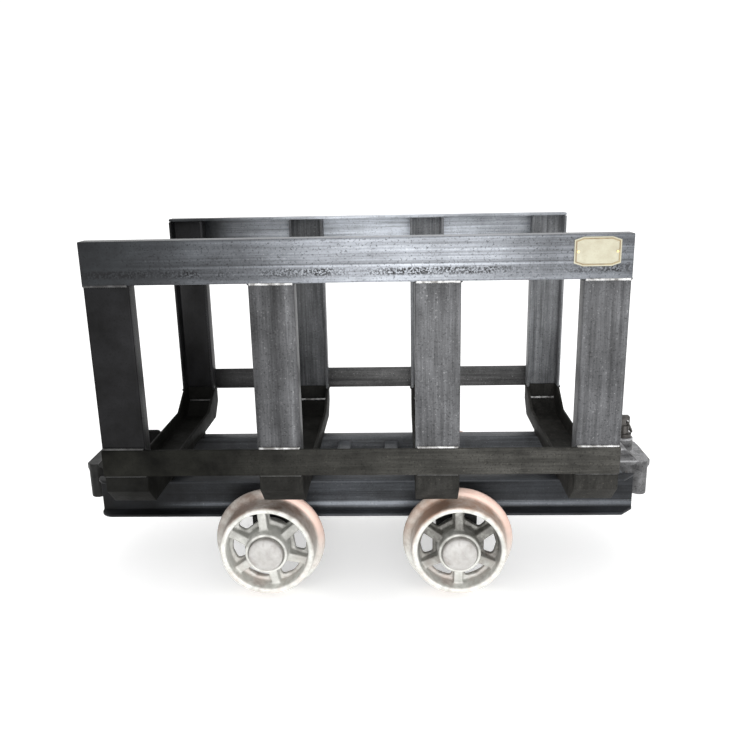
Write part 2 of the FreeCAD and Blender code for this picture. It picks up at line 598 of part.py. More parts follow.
def makeWheel(name, place):
    """Cast flanged wheel: bored hub, dished disc with six windows, six ribs, rim and flange."""
    body = newBody(name)
    rings = [("dims.sealBore", "dims.hubBack"), ("dims.hubRadius", "dims.hubBack"),
             ("dims.hubRadius + 4", "dims.discBack"), ("dims.rimInner", "dims.discBack"),
             ("dims.rimInner + 3", "dims.flangeBack"), ("dims.flangeRadius - 5", "dims.flangeBack"),
             ("dims.flangeRadius", "dims.flangeBack + 6"), ("dims.flangeRadius", "dims.flangeFront - 9"),
             ("dims.flangeRadius - 7", "dims.flangeFront - 1"),
             ("dims.treadRadius + 3", "dims.flangeFront + 3"),
             ("dims.treadRadius", "dims.flangeFront + 8"),
             ("dims.treadFront", "dims.rimFront - dims.rimEdge"),
             ("dims.treadFront - dims.rimEdge", "dims.rimFront"), ("dims.rimInner + 5", "dims.rimFront"),
             ("dims.rimInner + 2", "dims.rimFront - dims.rimEdge"), ("dims.rimInner", "dims.discFront"),
             ("dims.hubRadius + 4", "dims.discFront"), ("dims.hubRadius", "dims.hubFront - 2"),
             ("dims.hubRadius - 2", "dims.hubFront"), ("dims.capRecess", "dims.hubFront"),
             ("dims.capRecess", "dims.capSeat"), ("dims.capBore", "dims.capSeat"),
             ("dims.capBore", "dims.journalEnd"), ("dims.raceOuter", "dims.journalEnd"),
             ("dims.raceOuter", "dims.outerRaceAt"), ("dims.hubLand", "dims.outerRaceAt"),
             ("dims.hubLand", "dims.innerRaceAt + dims.raceWidth"),
             ("dims.raceOuter", "dims.innerRaceAt + dims.raceWidth"),
             ("dims.raceOuter", "dims.innerRaceAt"), ("dims.sealBore", "dims.innerRaceAt")]
    turned(body, name + "_turned", outline(body, name + "_section", "XZ_Plane", rings))
    rib = outline(body, name + "_rib_outline", "XZ_Plane",
                  [("dims.hubRadius - 2", "dims.discFront - 1"), ("dims.rimInner + 2", "dims.discFront - 1"),
                   ("dims.rimInner + 2", "dims.ribEndTop"), ("dims.hubRadius - 2", "dims.ribRootTop")],
                  "-dims.ribWidth / 2")
    first = pad(body, name + "_rib", rib, "dims.ribWidth")
    spread(body, name + "_ribs", [first], "Z_Axis", "dims.spokeCount", angle=360)
    corners = []
    between = "180 deg / dims.spokeCount"
    for radius, share in (("dims.windowInner", -1), ("dims.windowOuter", -1), ("dims.windowCrown", 0),
                          ("dims.windowOuter", 1), ("dims.windowInner", 1)):
        angle = f"({between} + {share} * dims.windowHalfAngle * 1 deg)"
        corners.append((f"{radius} * cos({angle})", f"{radius} * sin({angle})"))
    window = outline(body, name + "_window_outline", "XY_Plane", corners, "dims.discBack - 1")
    hole = pocket(body, name + "_window", window, "dims.discFront - dims.discBack + 2")
    spread(body, name + "_windows", [hole], "Z_Axis", "dims.spokeCount", angle=360)
    deep = sizes["discFront"] - sizes["discBack"]
    soften(body, name + "_window_corners", "dims.windowRound",
           lambda edge: runsAlong(edge, 2) and near(edge.Length, deep)
           and math.hypot(middle(edge).x, middle(edge).y) < sizes["windowOuter"] + 1)
    return keep(body, name, place)


def makeHubCap(name, place):
    """Round domed cap that screws into the hub's recess and leaves a groove round itself."""
    body = newBody(name)
    low = "dims.capSeat"
    shoulder = f"({low} + dims.capFlange)"
    section = [("0", low), ("dims.capRim", low)]
    for angle in range(0, 90, 15):
        section.append((f"dims.capRim * cos({angle} deg)", f"{shoulder} + dims.capDome * sin({angle} deg)"))
    section.append(("0", f"{shoulder} + dims.capDome"))
    turned(body, name + "_dome", outline(body, name + "_dome_section", "XZ_Plane", section))
    spigot = roundHole(body, name + "_spigot_circle", "XY_Plane", "0", "0", "dims.capSpigot",
                       f"{low} - dims.capSpigotLong")
    pad(body, name + "_spigot", spigot, "dims.capSpigotLong")
    hollow = roundHole(body, name + "_hollow_circle", "XY_Plane", "0", "0", "dims.capBoreRadius",
                       f"{low} - dims.capSpigotLong - 1")
    pocket(body, name + "_hollow", hollow, "dims.capSpigotLong + dims.capFlange - dims.capRoof + 1")
    return keep(body, name, place)


def makeAxle(name, place):
    body = newBody(name)
    right = [("dims.threadRadius", "dims.axleEnd"), ("dims.threadRadius", "dims.journalEnd"),
             ("dims.raceInner", "dims.journalEnd"), ("dims.raceInner", "dims.axleShoulder"),
             ("dims.axleRadius", "dims.axleShoulder")]
    left = [(radius, f"-{along}") for radius, along in reversed(right)]
    corners = [("0", "dims.axleEnd")] + right + left + [("0", "-dims.axleEnd")]
    turned(body, name + "_turned", outline(body, name + "_section", "XZ_Plane", corners))
    return keep(body, name, place)


def ringPiece(name, outerText, innerText, widthText, place):
    outer = rod(name + "_outer", outerText, widthText, place)
    inner = rod(name + "_inner", innerText, widthText, place)
    return without(name, outer, inner)


def onWheel(place, along):
    return place * at(0, 0, along)


def makeBearings(name, place):
    """Outer rings and rollers of one wheel's two bearings."""
    rings, rollers = [], []
    pitch = (sizes["raceInnerOut"] + sizes["raceOuterIn"]) / 2
    inset = (sizes["raceWidth"] - sizes["rollerLength"]) / 2
    for along in (sizes["innerRaceAt"], sizes["outerRaceAt"]):
        rings.append(ringPiece("outer_ring", "dims.raceOuter", "dims.raceOuterIn", "dims.raceWidth",
                               onWheel(place, along)))
        for index in range(sizes["rollerCount"]):
            spin = FreeCAD.Rotation(360 / sizes["rollerCount"] * index, 0, 0)
            turn = FreeCAD.Placement(FreeCAD.Vector(), spin)
            rollers.append(rod("roller", "dims.rollerRadius", "dims.rollerLength",
                               place * turn * at(pitch, 0, along + inset)))
    group(f"outer_rings_{name}", rings)
    group(f"rollers_{name}", rollers)


def makeAxleSeat(name, end, side):
    """Saddle block between the sill's lower flange and the axle, drilled for the U-bolt."""
    low = sizes["flangeRadius"] + sizes["seatBelow"]
    x = end * sizes["wheelBase"] / 2
    inner = sizes["seatInner"] if side > 0 else -sizes["seatOuter"]
    slab = doc.addObject("Part::Box", name + "_slab")
    bind(slab, Length="2 * dims.seatHalf", Width="dims.seatOuter - dims.seatInner",
         Height="dims.sillBottom - dims.flangeRadius - dims.seatBelow")
    slab.Placement = at(x - sizes["seatHalf"], inner, low)
    across = FreeCAD.Rotation(FreeCAD.Vector(1, 0, 0), -90)
    notch = rod(name + "_notch", "dims.axleRadius", "dims.seatOuter - dims.seatInner + 2",
                FreeCAD.Placement(FreeCAD.Vector(x, inner - 1, sizes["flangeRadius"]), across))
    tools = [notch]
    for step in (-1, 1):
        leg = at(x + step * uBoltLeg, side * uBoltAcross, sizes["flangeRadius"])
        tools.append(rod(name + "_hole", "dims.uBoltHole", "dims.sillBottom - dims.flangeRadius + 1", leg))
    return keep(without(name, slab, joined(name + "_tools", tools)), name)


def makeUBolt(x, y):
    bend = doc.addObject("Part::Torus", "u_bolt_bend")
    bind(bend, Radius1="dims.axleRadius + dims.uBoltRadius + dims.uBoltGap", Radius2="dims.uBoltRadius")
    bend.Angle3 = 180
    bend.Placement = at(x, y, sizes["flangeRadius"], -90, (1, 0, 0))
    pieces = [bend]
    for step in (-1, 1):
        pieces.append(rod("u_bolt_leg", "dims.uBoltRadius", "dims.uBoltTop - dims.flangeRadius",
                          at(x + step * uBoltLeg, y, sizes["flangeRadius"])))
    return joined("u_bolt", pieces)


def makeAxleFixings():
    """A U-bolt and two nuts hold each axle in each of its seats."""
    bolts, nuts = [], []
    shelf = sizes["sillBottom"] + sizes["flangeThick"]
    for end in (-1, 1):
        for side in (-1, 1):
            x, y = end * sizes["wheelBase"] / 2, side * uBoltAcross
            bolts.append(makeUBolt(x, y))
            for step in (-1, 1):
                where = at(x + step * uBoltLeg, y, shelf)
                blank = hexPiece("u_nut_blank", "dims.uNutFlats", "dims.uNutTall", where)
                nuts.append(without("u_nut", blank, rod("u_nut_bore", "dims.uBoltRadius",
                                                        "dims.uNutTall", where)))
    group("axle_u_bolts", bolts)
    group("axle_u_bolt_nuts", nuts)


def makeAxleEndPieces():
    """Nuts and felt seals at the axle ends, and the bearings' inner rings on each axle."""
    nuts, seals = [], []
    for end, endName in ((-1, "left"), (1, "right")):
        innerRings = []
        for side in (-1, 1):
            place = wheelPlace(end, side)
            seat = onWheel(place, sizes["journalEnd"])
            blank = hexPiece("axle_nut_blank", "dims.nutFlats", "dims.nutThick", seat)
            nuts.append(without("axle_nut", blank, rod("axle_nut_bore", "dims.threadRadius",
                                                       "dims.nutThick", seat)))
            seals.append(ringPiece("felt_seal", "dims.sealBore - 0.05", "dims.axleRadius",
                                   "dims.sealWidth", onWheel(place, sizes["hubBack"] + 1)))
            for along in (sizes["innerRaceAt"], sizes["outerRaceAt"]):
                innerRings.append(ringPiece("inner_ring", "dims.raceInnerOut", "dims.raceInner",
                                            "dims.raceWidth", onWheel(place, along)))
        group(f"inner_rings_{endName}", innerRings)
    group("axle_nuts", nuts)
    group("felt_seals", seals)


uBoltLeg = sizes["axleRadius"] + sizes["uBoltRadius"] + sizes["uBoltGap"]
uBoltAcross = sizes["sillTip"] - (sizes["sectionDepth"] - sizes["webThick"]) / 2
spokeTurns = {("left", "near"): 38, ("right", "near"): 30, ("left", "far"): 52, ("right", "far"): 11}
for end, endName in ((-1, "left"), (1, "right")):
    makeAxle(f"axle_{endName}", wheelPlace(end, -1))
    for side, sideName in ((-1, "near"), (1, "far")):
        name = f"{endName}_{sideName}"
        place = wheelPlace(end, side, spokeTurns[endName, sideName])
        makeWheel(f"wheel_{name}", place)
        makeHubCap(f"hub_cap_{name}", place)
        makeBearings(name, place)
        makeAxleSeat(f"axle_seat_{name}", end, side)
makeAxleEndPieces()
makeAxleFixings()


def finish():
    doc.recompute()
    for thing in doc.Objects:
        if "Invalid" in thing.State or "Error" in thing.State:
            raise ValueError(f"{thing.Label} failed: {thing.State}")
    os.makedirs("parts", exist_ok=True)
    for thing in parts:
        shape = thing.Shape
        if shape.isNull() or not shape.isValid():
            raise ValueError(f"{thing.Label} has no valid shape")
        shape.exportStep(f"parts/{thing.Label}.step")
        print(thing.Label, len(shape.Solids), round(shape.Volume / 1000), "cm3")
    print(len(parts), "sub-parts")


finish()
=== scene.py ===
import math
import bpy
from mathutils import Matrix, Vector


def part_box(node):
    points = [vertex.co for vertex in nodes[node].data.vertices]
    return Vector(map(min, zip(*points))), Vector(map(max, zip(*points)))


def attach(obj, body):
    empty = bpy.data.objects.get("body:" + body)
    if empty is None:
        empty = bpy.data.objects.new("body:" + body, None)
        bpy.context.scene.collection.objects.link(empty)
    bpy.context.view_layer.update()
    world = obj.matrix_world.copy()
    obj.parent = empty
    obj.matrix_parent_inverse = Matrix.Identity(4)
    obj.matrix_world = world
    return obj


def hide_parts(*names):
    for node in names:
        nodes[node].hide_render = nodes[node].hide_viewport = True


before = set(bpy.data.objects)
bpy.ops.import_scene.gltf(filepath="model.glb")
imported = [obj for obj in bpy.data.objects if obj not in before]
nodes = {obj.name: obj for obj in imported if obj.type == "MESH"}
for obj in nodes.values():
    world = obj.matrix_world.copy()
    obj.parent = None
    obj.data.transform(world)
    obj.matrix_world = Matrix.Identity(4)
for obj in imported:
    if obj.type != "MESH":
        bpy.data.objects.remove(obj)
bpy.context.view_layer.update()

scene = bpy.context.scene
wheelNames = ["left_near", "left_far", "right_near", "right_far"]
print("frame loaded:", len(nodes), "nodes")


# node helpers
def newMaterial(name):
    material = bpy.data.materials.new(name)
    material.use_nodes = True
    tree = material.node_tree
    shader = tree.nodes["Principled BSDF"]
    return material, tree, shader


def link(tree, source, target):
    tree.links.new(source, target)


def objectCoords(tree, scale=(1, 1, 1), move=(0, 0, 0)):
    coords = tree.nodes.new("ShaderNodeTexCoord")
    mapping = tree.nodes.new("ShaderNodeMapping")
    mapping.inputs["Scale"].default_value = scale
    mapping.inputs["Location"].default_value = move
    link(tree, coords.outputs["Object"], mapping.inputs["Vector"])
    return mapping.outputs["Vector"]


def separate(tree, vector):
    split = tree.nodes.new("ShaderNodeSeparateXYZ")
    link(tree, vector, split.inputs["Vector"])
    return split.outputs


def noise(tree, vector, scale, detail=4, roughness=0.6):
    node = tree.nodes.new("ShaderNodeTexNoise")
    node.inputs["Scale"].default_value = scale
    node.inputs["Detail"].default_value = detail
    node.inputs["Roughness"].default_value = roughness
    link(tree, vector, node.inputs["Vector"])
    return node.outputs["Fac"]


def ramp(tree, value, low, high, fromLow=0.0, fromHigh=1.0):
    node = tree.nodes.new("ShaderNodeMapRange")
    node.inputs["From Min"].default_value = low
    node.inputs["From Max"].default_value = high
    node.inputs["To Min"].default_value = fromLow
    node.inputs["To Max"].default_value = fromHigh
    link(tree, value, node.inputs["Value"])
    return node.outputs["Result"]


def mixColour(tree, factor, first, second):
    node = tree.nodes.new("ShaderNodeMix")
    node.data_type = "RGBA"
    for name, value in (("Factor", factor), ("A", first), ("B", second)):
        sockets = [s for s in node.inputs if s.name == name and s.enabled]
        if isinstance(value, (tuple, list)):
            sockets[0].default_value = (*value, 1)
        else:
            link(tree, value, sockets[0])
    return [s for s in node.outputs if s.enabled][0]


def maths(tree, operation, first, second=0.0, clamp=False):
    node = tree.nodes.new("ShaderNodeMath")
    node.operation = operation
    node.use_clamp = clamp
    for index, value in enumerate((first, second)):
        if isinstance(value, (int, float)):
            node.inputs[index].default_value = value
        else:
            link(tree, value, node.inputs[index])
    return node.outputs[0]


def times(tree, *values):
    product = values[0]
    for value in values[1:]:
        product = maths(tree, "MULTIPLY", product, value)
    return product


def bump(tree, shader, height, strength, distance):
    node = tree.nodes.new("ShaderNodeBump")
    node.inputs["Strength"].default_value = strength
    node.inputs["Distance"].default_value = distance
    link(tree, height, node.inputs["Height"])
    link(tree, node.outputs["Normal"], shader.inputs["Normal"])


def lineAt(tree, along, centre, half, gain):
    # a soft line across a surface: 1 away from it, 1 + gain on it
    away = maths(tree, "ABSOLUTE", maths(tree, "SUBTRACT", along, centre))
    return ramp(tree, away, 0, half, 1 + gain, 1)


enamelGrain = {"broad": 3.0, "fine": 10.0, "speck": 170, "chipEdge": 0.006, "backLitShare": 0.35,
               "backStep": 0.001, "relief": 0.35, "depth": 0.0007}


# dark enamel on mill steel: a film of dust in streaks that also carries painted light, brightest
# toward the middle of the cart, with painted highlight and shade bands, chips and fine specks
def enamel(name, look):
    material, tree, shader = newMaterial(name)
    plain = objectCoords(tree)
    place = separate(tree, plain)
    streaky = objectCoords(tree, look["streak"])
    cloud = noise(tree, plain, look["cloud"], 5, 0.65)
    broad = noise(tree, streaky, enamelGrain["broad"], 5, 0.65)
    fine = noise(tree, streaky, enamelGrain["fine"], 4, 0.7)
    speck = noise(tree, plain, enamelGrain["speck"], 3, 0.75)
    fadeFrom, fadeTo, fadeLeft = look["lightFade"]
    # painted light: the film rises from the dark left end toward the middle and falls off again
    # toward the right
    paintedLightRise = maths(tree, "POWER", ramp(tree, place["X"], *look["reach"]), look.get("bend", 1.0))
    film = times(tree, paintedLightRise, ramp(tree, place["X"], fadeFrom, fadeTo, 1, fadeLeft),
                 ramp(tree, cloud, 0.3, 0.7, 0.6, 1.2), ramp(tree, broad, 0.33, 0.67, 0.5, 1.4),
                 ramp(tree, fine, 0.3, 0.7, 0.8, 1.15))
    # painted highlight and painted shade bands: level ones by height, upright ones along the cart
    for centre, half, gain in look.get("litAndShadedBands", ()):
        film = times(tree, film, lineAt(tree, place["Z"], centre, half, gain))
    for centre, half, gain in look.get("litAndShadedUprights", ()):
        film = times(tree, film, lineAt(tree, place["X"], centre, half, gain))
    if "inside" in look:  # painted light and dust on the face that looks into the body, much less on its back
        inside, behind = look["inside"], look["inside"] + enamelGrain["backStep"]
        film = times(tree, film,
                     ramp(tree, place["Y"], inside, behind, 1.0, enamelGrain["backLitShare"]))
    film = maths(tree, "MULTIPLY", film, look["film"], clamp=True)
    base = mixColour(tree, ramp(tree, cloud, 0.35, 0.65), look["fresh"], look["worn"])
    base = mixColour(tree, film, base, look["dustAndSheen"])
    chipped = ramp(tree, speck, 0.56, 0.66, 0, look["specks"])
    if "chips" in look:
        low, high, amount = look["chips"]
        edge = enamelGrain["chipEdge"]
        zone = times(tree, ramp(tree, place["Z"], low, low + edge),
                     ramp(tree, place["Z"], high - edge, high, 1, 0))
        loose = times(tree, zone, ramp(tree, speck, 0.44, 0.54),
                      ramp(tree, cloud, 0.42, 0.55, 0.2, amount))
        chipped = maths(tree, "MAXIMUM", chipped, loose)
    base = mixColour(tree, chipped, base, look["fresh"])
    # pale nicks, scaled by the film, so they are stronger where its painted light is
    bright = times(tree, ramp(tree, speck, 0.37, 0.30), film, 0.8)
    base = mixColour(tree, bright, base, look["nick"])
    link(tree, base, shader.inputs["Base Color"])
    shader.inputs["Specular IOR Level"].default_value = look["shine"]
    rough = maths(tree, "ADD", ramp(tree, broad, 0.3, 0.7, -0.08, 0.08), look["rough"], clamp=True)
    link(tree, rough, shader.inputs["Roughness"])
    height = maths(tree, "ADD", speck, maths(tree, "MULTIPLY", fine, 1.5))
    bump(tree, shader, height, enamelGrain["relief"], enamelGrain["depth"])
    return material


black, sooty = (0.005, 0.005, 0.005), (0.013, 0.013, 0.014)
paleDustAndSheen, nickPaint = (0.50, 0.53, 0.58), (0.62, 0.62, 0.62)
# in every look the film's colour and its rise and fall along the cart are dust and painted light
# together
enamelLooks = {
    "railEnamel": {"fresh": (0.007, 0.007, 0.008), "worn": (0.018, 0.020, 0.022), "dustAndSheen": paleDustAndSheen,
                   "film": 0.63, "cloud": 6, "streak": (0.35, 30, 34), "specks": 0.75,
                   "shine": 0.16, "rough": 0.36, "reach": (-0.77, 0.0), "bend": 2.3,
                   "lightFade": (0.12, 0.75, 0.34), "nick": nickPaint, "chips": (1.046, 1.073, 1.0),
                   "litAndShadedBands": ((1.0810, 0.004, -0.5), (1.0745, 0.005, 0.3), (1.100, 0.003, -0.3))},
    "farRailEnamel": {"fresh": (0.010, 0.011, 0.012), "worn": (0.036, 0.039, 0.043),
                      "dustAndSheen": (0.72, 0.76, 0.82), "film": 1.0, "cloud": 6, "streak": (0.5, 26, 30),
                      "specks": 0.5, "shine": 0.2, "rough": 0.36, "reach": (-0.58, -0.02),
                      "lightFade": (0.08, 0.55, 0.5), "nick": nickPaint, "inside": 0.4565},
    "postEnamel": {"fresh": black, "worn": sooty, "dustAndSheen": (0.22, 0.223, 0.232), "film": 0.46,
                   "cloud": 7, "streak": (22, 22, 0.9), "specks": 0.6, "shine": 0.06, "rough": 0.38,
                   "reach": (-0.56, 0.0), "lightFade": (0.25, 0.7, 0.8), "nick": nickPaint,
                   "litAndShadedUprights": ((-0.186, 0.016, 0.8), (-0.262, 0.014, 0.35),
                                (-0.222, 0.016, -0.25))},
    "farPostEnamel": {"fresh": black, "worn": sooty, "dustAndSheen": (0.32, 0.33, 0.345), "film": 0.55,
                      "cloud": 7, "streak": (26, 26, 0.9), "specks": 0.5, "shine": 0.12,
                      "rough": 0.38, "reach": (-0.66, 0.2), "lightFade": (0.3, 0.7, 0.95),
                      "nick": nickPaint},
    "barEnamel": {"fresh": (0.004, 0.004, 0.0035), "worn": (0.013, 0.013, 0.011),
                  "dustAndSheen": (0.104, 0.101, 0.093), "film": 0.50, "cloud": 9, "streak": (1.0, 18, 22),
                  "specks": 0.55, "shine": 0.03, "rough": 0.6, "reach": (-0.48, 0.5),
                  "lightFade": (0.5, 0.8, 0.95), "nick": (0.22, 0.20, 0.17)},
    "farBarEnamel": {"fresh": black, "worn": sooty, "dustAndSheen": (0.18, 0.18, 0.18), "film": 0.65,
                     "cloud": 8, "streak": (0.8, 20, 24), "specks": 0.5, "shine": 0.1, "rough": 0.5,
                     "reach": (-0.7, 0.0), "lightFade": (0.2, 0.7, 0.8), "nick": nickPaint},
    "bowEnamel": {"fresh": (0.004, 0.004, 0.0035), "worn": (0.011, 0.011, 0.010),
                  "dustAndSheen": (0.060, 0.058, 0.054), "film": 0.40, "cloud": 9, "streak": (16, 16, 3),
                  "specks": 0.5, "shine": 0.03, "rough": 0.6, "reach": (-0.62, 0.3),
                  "lightFade": (0.3, 0.8, 0.95), "nick": (0.20, 0.18, 0.15)},
    "sillEnamel": {"fresh": black, "worn": (0.012, 0.013, 0.015), "dustAndSheen": (0.26, 0.28, 0.31),
                   "film": 0.16, "cloud": 6, "streak": (0.6, 20, 30), "specks": 0.4, "shine": 0.10,
                   "rough": 0.42, "reach": (-0.70, 0.0), "lightFade": (0.15, 0.6, 0.4),
                   "nick": nickPaint,
                   "litAndShadedBands": ((0.254, 0.012, 6.5), (0.262, 0.016, 0.7), (0.290, 0.006, -0.4))},
    "farSillEnamel": {"fresh": black, "worn": (0.018, 0.019, 0.021), "dustAndSheen": (0.17, 0.18, 0.195),
                      "film": 0.50, "cloud": 6, "streak": (0.6, 20, 30), "specks": 0.4,
                      "shine": 0.2, "rough": 0.42, "reach": (-0.75, 0.0), "lightFade": (0.3, 0.8, 0.95),
                      "nick": nickPaint},
    "bumperEnamel": {"fresh": (0.005, 0.005, 0.005), "worn": (0.018, 0.018, 0.017),
                     "dustAndSheen": (0.42, 0.42, 0.43), "film": 0.26, "cloud": 14, "streak": (9, 9, 9),
                     "specks": 0.7, "shine": 0.14, "rough": 0.45, "reach": (-0.7, 0.5),
                     "lightFade": (0.8, 0.9, 1.0), "nick": nickPaint,
                     "litAndShadedBands": ((0.414, 0.006, 3.0), (0.371, 0.005, 2.2), (0.392, 0.010, -0.6))},
}
finishes = {name: enamel(name, look) for name, look in enamelLooks.items()}


metalGrain = {"shadeCover": 0.9, "depth": 0.0008}


# bare or barely coated steel, with tarnish in clouds and a fine grain; welds darkened by painted
# shade toward the left end
def metal(name, look):
    material, tree, shader = newMaterial(name)
    plain = objectCoords(tree)
    cloud = noise(tree, plain, look["cloud"], 5, 0.65)
    grain = noise(tree, plain, look["grain"], 3, 0.7)
    base = mixColour(tree, ramp(tree, cloud, 0.38, 0.62), look["clean"], look["tarnish"])
    if "leftEndShade" in look:  # painted shade: darkened toward black at the left end of the cart
        along = separate(tree, plain)["X"]
        leftShade = times(tree, ramp(tree, along, *look["leftEndShade"], 1, 0), metalGrain["shadeCover"])
        base = mixColour(tree, leftShade, base, black)
    link(tree, base, shader.inputs["Base Color"])
    shader.inputs["Metallic"].default_value = look["metallic"]
    rough = maths(tree, "ADD", ramp(tree, grain, 0.3, 0.7, -0.1, 0.1), look["rough"], clamp=True)
    link(tree, rough, shader.inputs["Roughness"])
    bump(tree, shader, grain, look["relief"], metalGrain["depth"])
    return material


metalLooks = {
    "weldMetal": {"clean": (0.66, 0.66, 0.66), "tarnish": (0.16, 0.155, 0.15), "cloud": 42,
                  "grain": 300, "metallic": 0.4, "rough": 0.40, "relief": 0.3,
                  "leftEndShade": (-0.55, -0.25)},
    "paintedWeld": {"clean": (0.045, 0.045, 0.043), "tarnish": (0.009, 0.009, 0.008), "cloud": 46,
                    "grain": 300, "metallic": 0.0, "rough": 0.7, "relief": 0.3,
                    "leftEndShade": (-0.55, -0.25)},
    "fastenerSteel": {"clean": (0.12, 0.115, 0.11), "tarnish": (0.05, 0.04, 0.035), "cloud": 25,
                      "grain": 260, "metallic": 0.4, "rough": 0.5, "relief": 0.3},
    "forgedSteel": {"clean": (0.08, 0.075, 0.07), "tarnish": (0.025, 0.022, 0.02), "cloud": 22,
                    "grain": 200, "metallic": 0.5, "rough": 0.42, "relief": 0.4},
    "turnedSteel": {"clean": (0.36, 0.35, 0.34), "tarnish": (0.16, 0.14, 0.12), "cloud": 12,
                    "grain": 320, "metallic": 0.8, "rough": 0.4, "relief": 0.15},
    "groundSteel": {"clean": (0.66, 0.66, 0.67), "tarnish": (0.52, 0.52, 0.53), "cloud": 20,
                    "grain": 500, "metallic": 1.0, "rough": 0.22, "relief": 0.05},
    "seatIron": {"clean": (0.04, 0.04, 0.04), "tarnish": (0.016, 0.016, 0.015), "cloud": 20,
                 "grain": 180, "metallic": 0.1, "rough": 0.6, "relief": 0.6},
    "dullBrass": {"clean": (0.55, 0.42, 0.20), "tarnish": (0.30, 0.22, 0.11), "cloud": 60,
                  "grain": 400, "metallic": 0.9, "rough": 0.4, "relief": 0.1},
}
finishes.update({name: metal(name, look) for name, look in metalLooks.items()})


# where a wheel's finishes begin and end: by radius, then by height and side of its axle
wheelBands = {"dish": (0.058, 0.072), "rim": (0.124, 0.132), "tread": (0.138, 0.146),
              "flange": (0.150, 0.158), "upperDishShade": (-0.09, 0.03), "upper": (-0.06, 0.10),
              "side": (-0.03, 0.06), "foot": (0.0, -0.12)}
wheelGrain = {"cloud": 11, "blotch": 26, "mottle": 48, "grain": 170, "grooveHalf": 0.0045,
              "grooveGain": -0.85, "primerCover": 0.95, "footCover": 0.25, "relief": 0.5,
              "depth": 0.0014}


# pale cast steel: rust and pink primer toward the tread and flange, grime and painted shade in the
# dish
def castWheel(name, centre, look):
    material, tree, shader = newMaterial(name)
    turned = objectCoords(tree, (1, 1, 1), tuple(-value for value in centre))
    place = separate(tree, turned)
    flat = tree.nodes.new("ShaderNodeCombineXYZ")
    link(tree, place["X"], flat.inputs["X"])
    link(tree, place["Z"], flat.inputs["Z"])
    reach = tree.nodes.new("ShaderNodeVectorMath")
    reach.operation = "LENGTH"
    link(tree, flat.outputs[0], reach.inputs[0])
    radius = reach.outputs["Value"]
    cloud = noise(tree, turned, wheelGrain["cloud"], 5, 0.65)
    blotch = noise(tree, turned, wheelGrain["blotch"], 4, 0.6)
    grain = noise(tree, turned, wheelGrain["grain"], 4, 0.7)
    base = mixColour(tree, ramp(tree, cloud, 0.35, 0.65), look["pale"], look["grey"])
    base = mixColour(tree, ramp(tree, blotch, 0.54, 0.70, 0, look["stain"]), base, look["smutAndShade"])
    # painted shade and grime in the dish, strongest in its upper half where the rim shades it
    dish = times(tree, ramp(tree, radius, *wheelBands["dish"]),
                 ramp(tree, radius, *wheelBands["rim"], 1, 0),
                 ramp(tree, cloud, 0.32, 0.6, 0.35, 0.95),
                 ramp(tree, place["Z"], *wheelBands["upperDishShade"], 0.15, 1), look["dishShadeAndGrime"])
    base = mixColour(tree, dish, base, look["smutAndShade"])
    # a darker ring along the groove round the cap
    line = lineAt(tree, radius, look["groove"], wheelGrain["grooveHalf"], wheelGrain["grooveGain"])
    groove = times(tree, line, ramp(tree, blotch, 0.3, 0.6, 0.75, 1.0))
    base = mixColour(tree, groove, look["smutAndShade"], base)
    patches = noise(tree, turned, wheelGrain["mottle"], 5, 0.7)
    mottle = times(tree, ramp(tree, patches, 0.45, 0.62), look["mottle"])
    base = mixColour(tree, mottle, base, look["dim"])
    upper = ramp(tree, place["Z"], *wheelBands["upper"])
    tread = times(tree, ramp(tree, radius, *wheelBands["tread"]), upper)
    rusty = maths(tree, "MULTIPLY", tread, ramp(tree, cloud, 0.30, 0.55, 0.45, 1.0), clamp=True)
    base = mixColour(tree, rusty, base, look["rust"])
    side = ramp(tree, place["X"], *wheelBands["side"])
    primer = times(tree, ramp(tree, radius, *wheelBands["flange"]), upper, side,
                   wheelGrain["primerCover"])
    base = mixColour(tree, primer, base, look["primer"])
    flush = times(tree, ramp(tree, place["Z"], *wheelBands["foot"]), ramp(tree, cloud, 0.45, 0.6),
                  wheelGrain["footCover"])
    base = mixColour(tree, flush, base, look["primer"])
    link(tree, base, shader.inputs["Base Color"])
    shader.inputs["Metallic"].default_value = 0.1
    link(tree, ramp(tree, blotch, 0.3, 0.7, 0.38, 0.62), shader.inputs["Roughness"])
    height = maths(tree, "ADD", grain, maths(tree, "MULTIPLY", blotch, 1.5))
    bump(tree, shader, height, wheelGrain["relief"], wheelGrain["depth"])
    return material


wheelLook = {"pale": (0.76, 0.76, 0.72), "grey": (0.57, 0.57, 0.54), "smutAndShade": (0.11, 0.105, 0.095),
             "dim": (0.33, 0.335, 0.30), "primer": (0.76, 0.54, 0.46), "stain": 0.5, "mottle": 0.4,
             "groove": 0.0548}
wheelWearAndShade = {
    "left_near": {"dishShadeAndGrime": 0.7, "rust": (0.17, 0.125, 0.10)},
    "right_near": {"dishShadeAndGrime": 1.9, "rust": (0.30, 0.19, 0.135)},
    "left_far": {"dishShadeAndGrime": 0.8, "rust": (0.25, 0.16, 0.115)},
    "right_far": {"dishShadeAndGrime": 0.7, "rust": (0.28, 0.18, 0.13)},
}
capLook = {"pale": (0.48, 0.475, 0.46), "grey": (0.36, 0.35, 0.34), "smutAndShade": (0.20, 0.165, 0.14),
           "dim": (0.28, 0.27, 0.25), "rust": (0.4, 0.3, 0.25), "primer": (0.55, 0.45, 0.40),
           "stain": 0.6, "mottle": 0.4, "groove": 0.0560, "dishShadeAndGrime": 0.0}


coatGrain = {"finer": 12, "spread": 0.06, "depth": 0.0005}


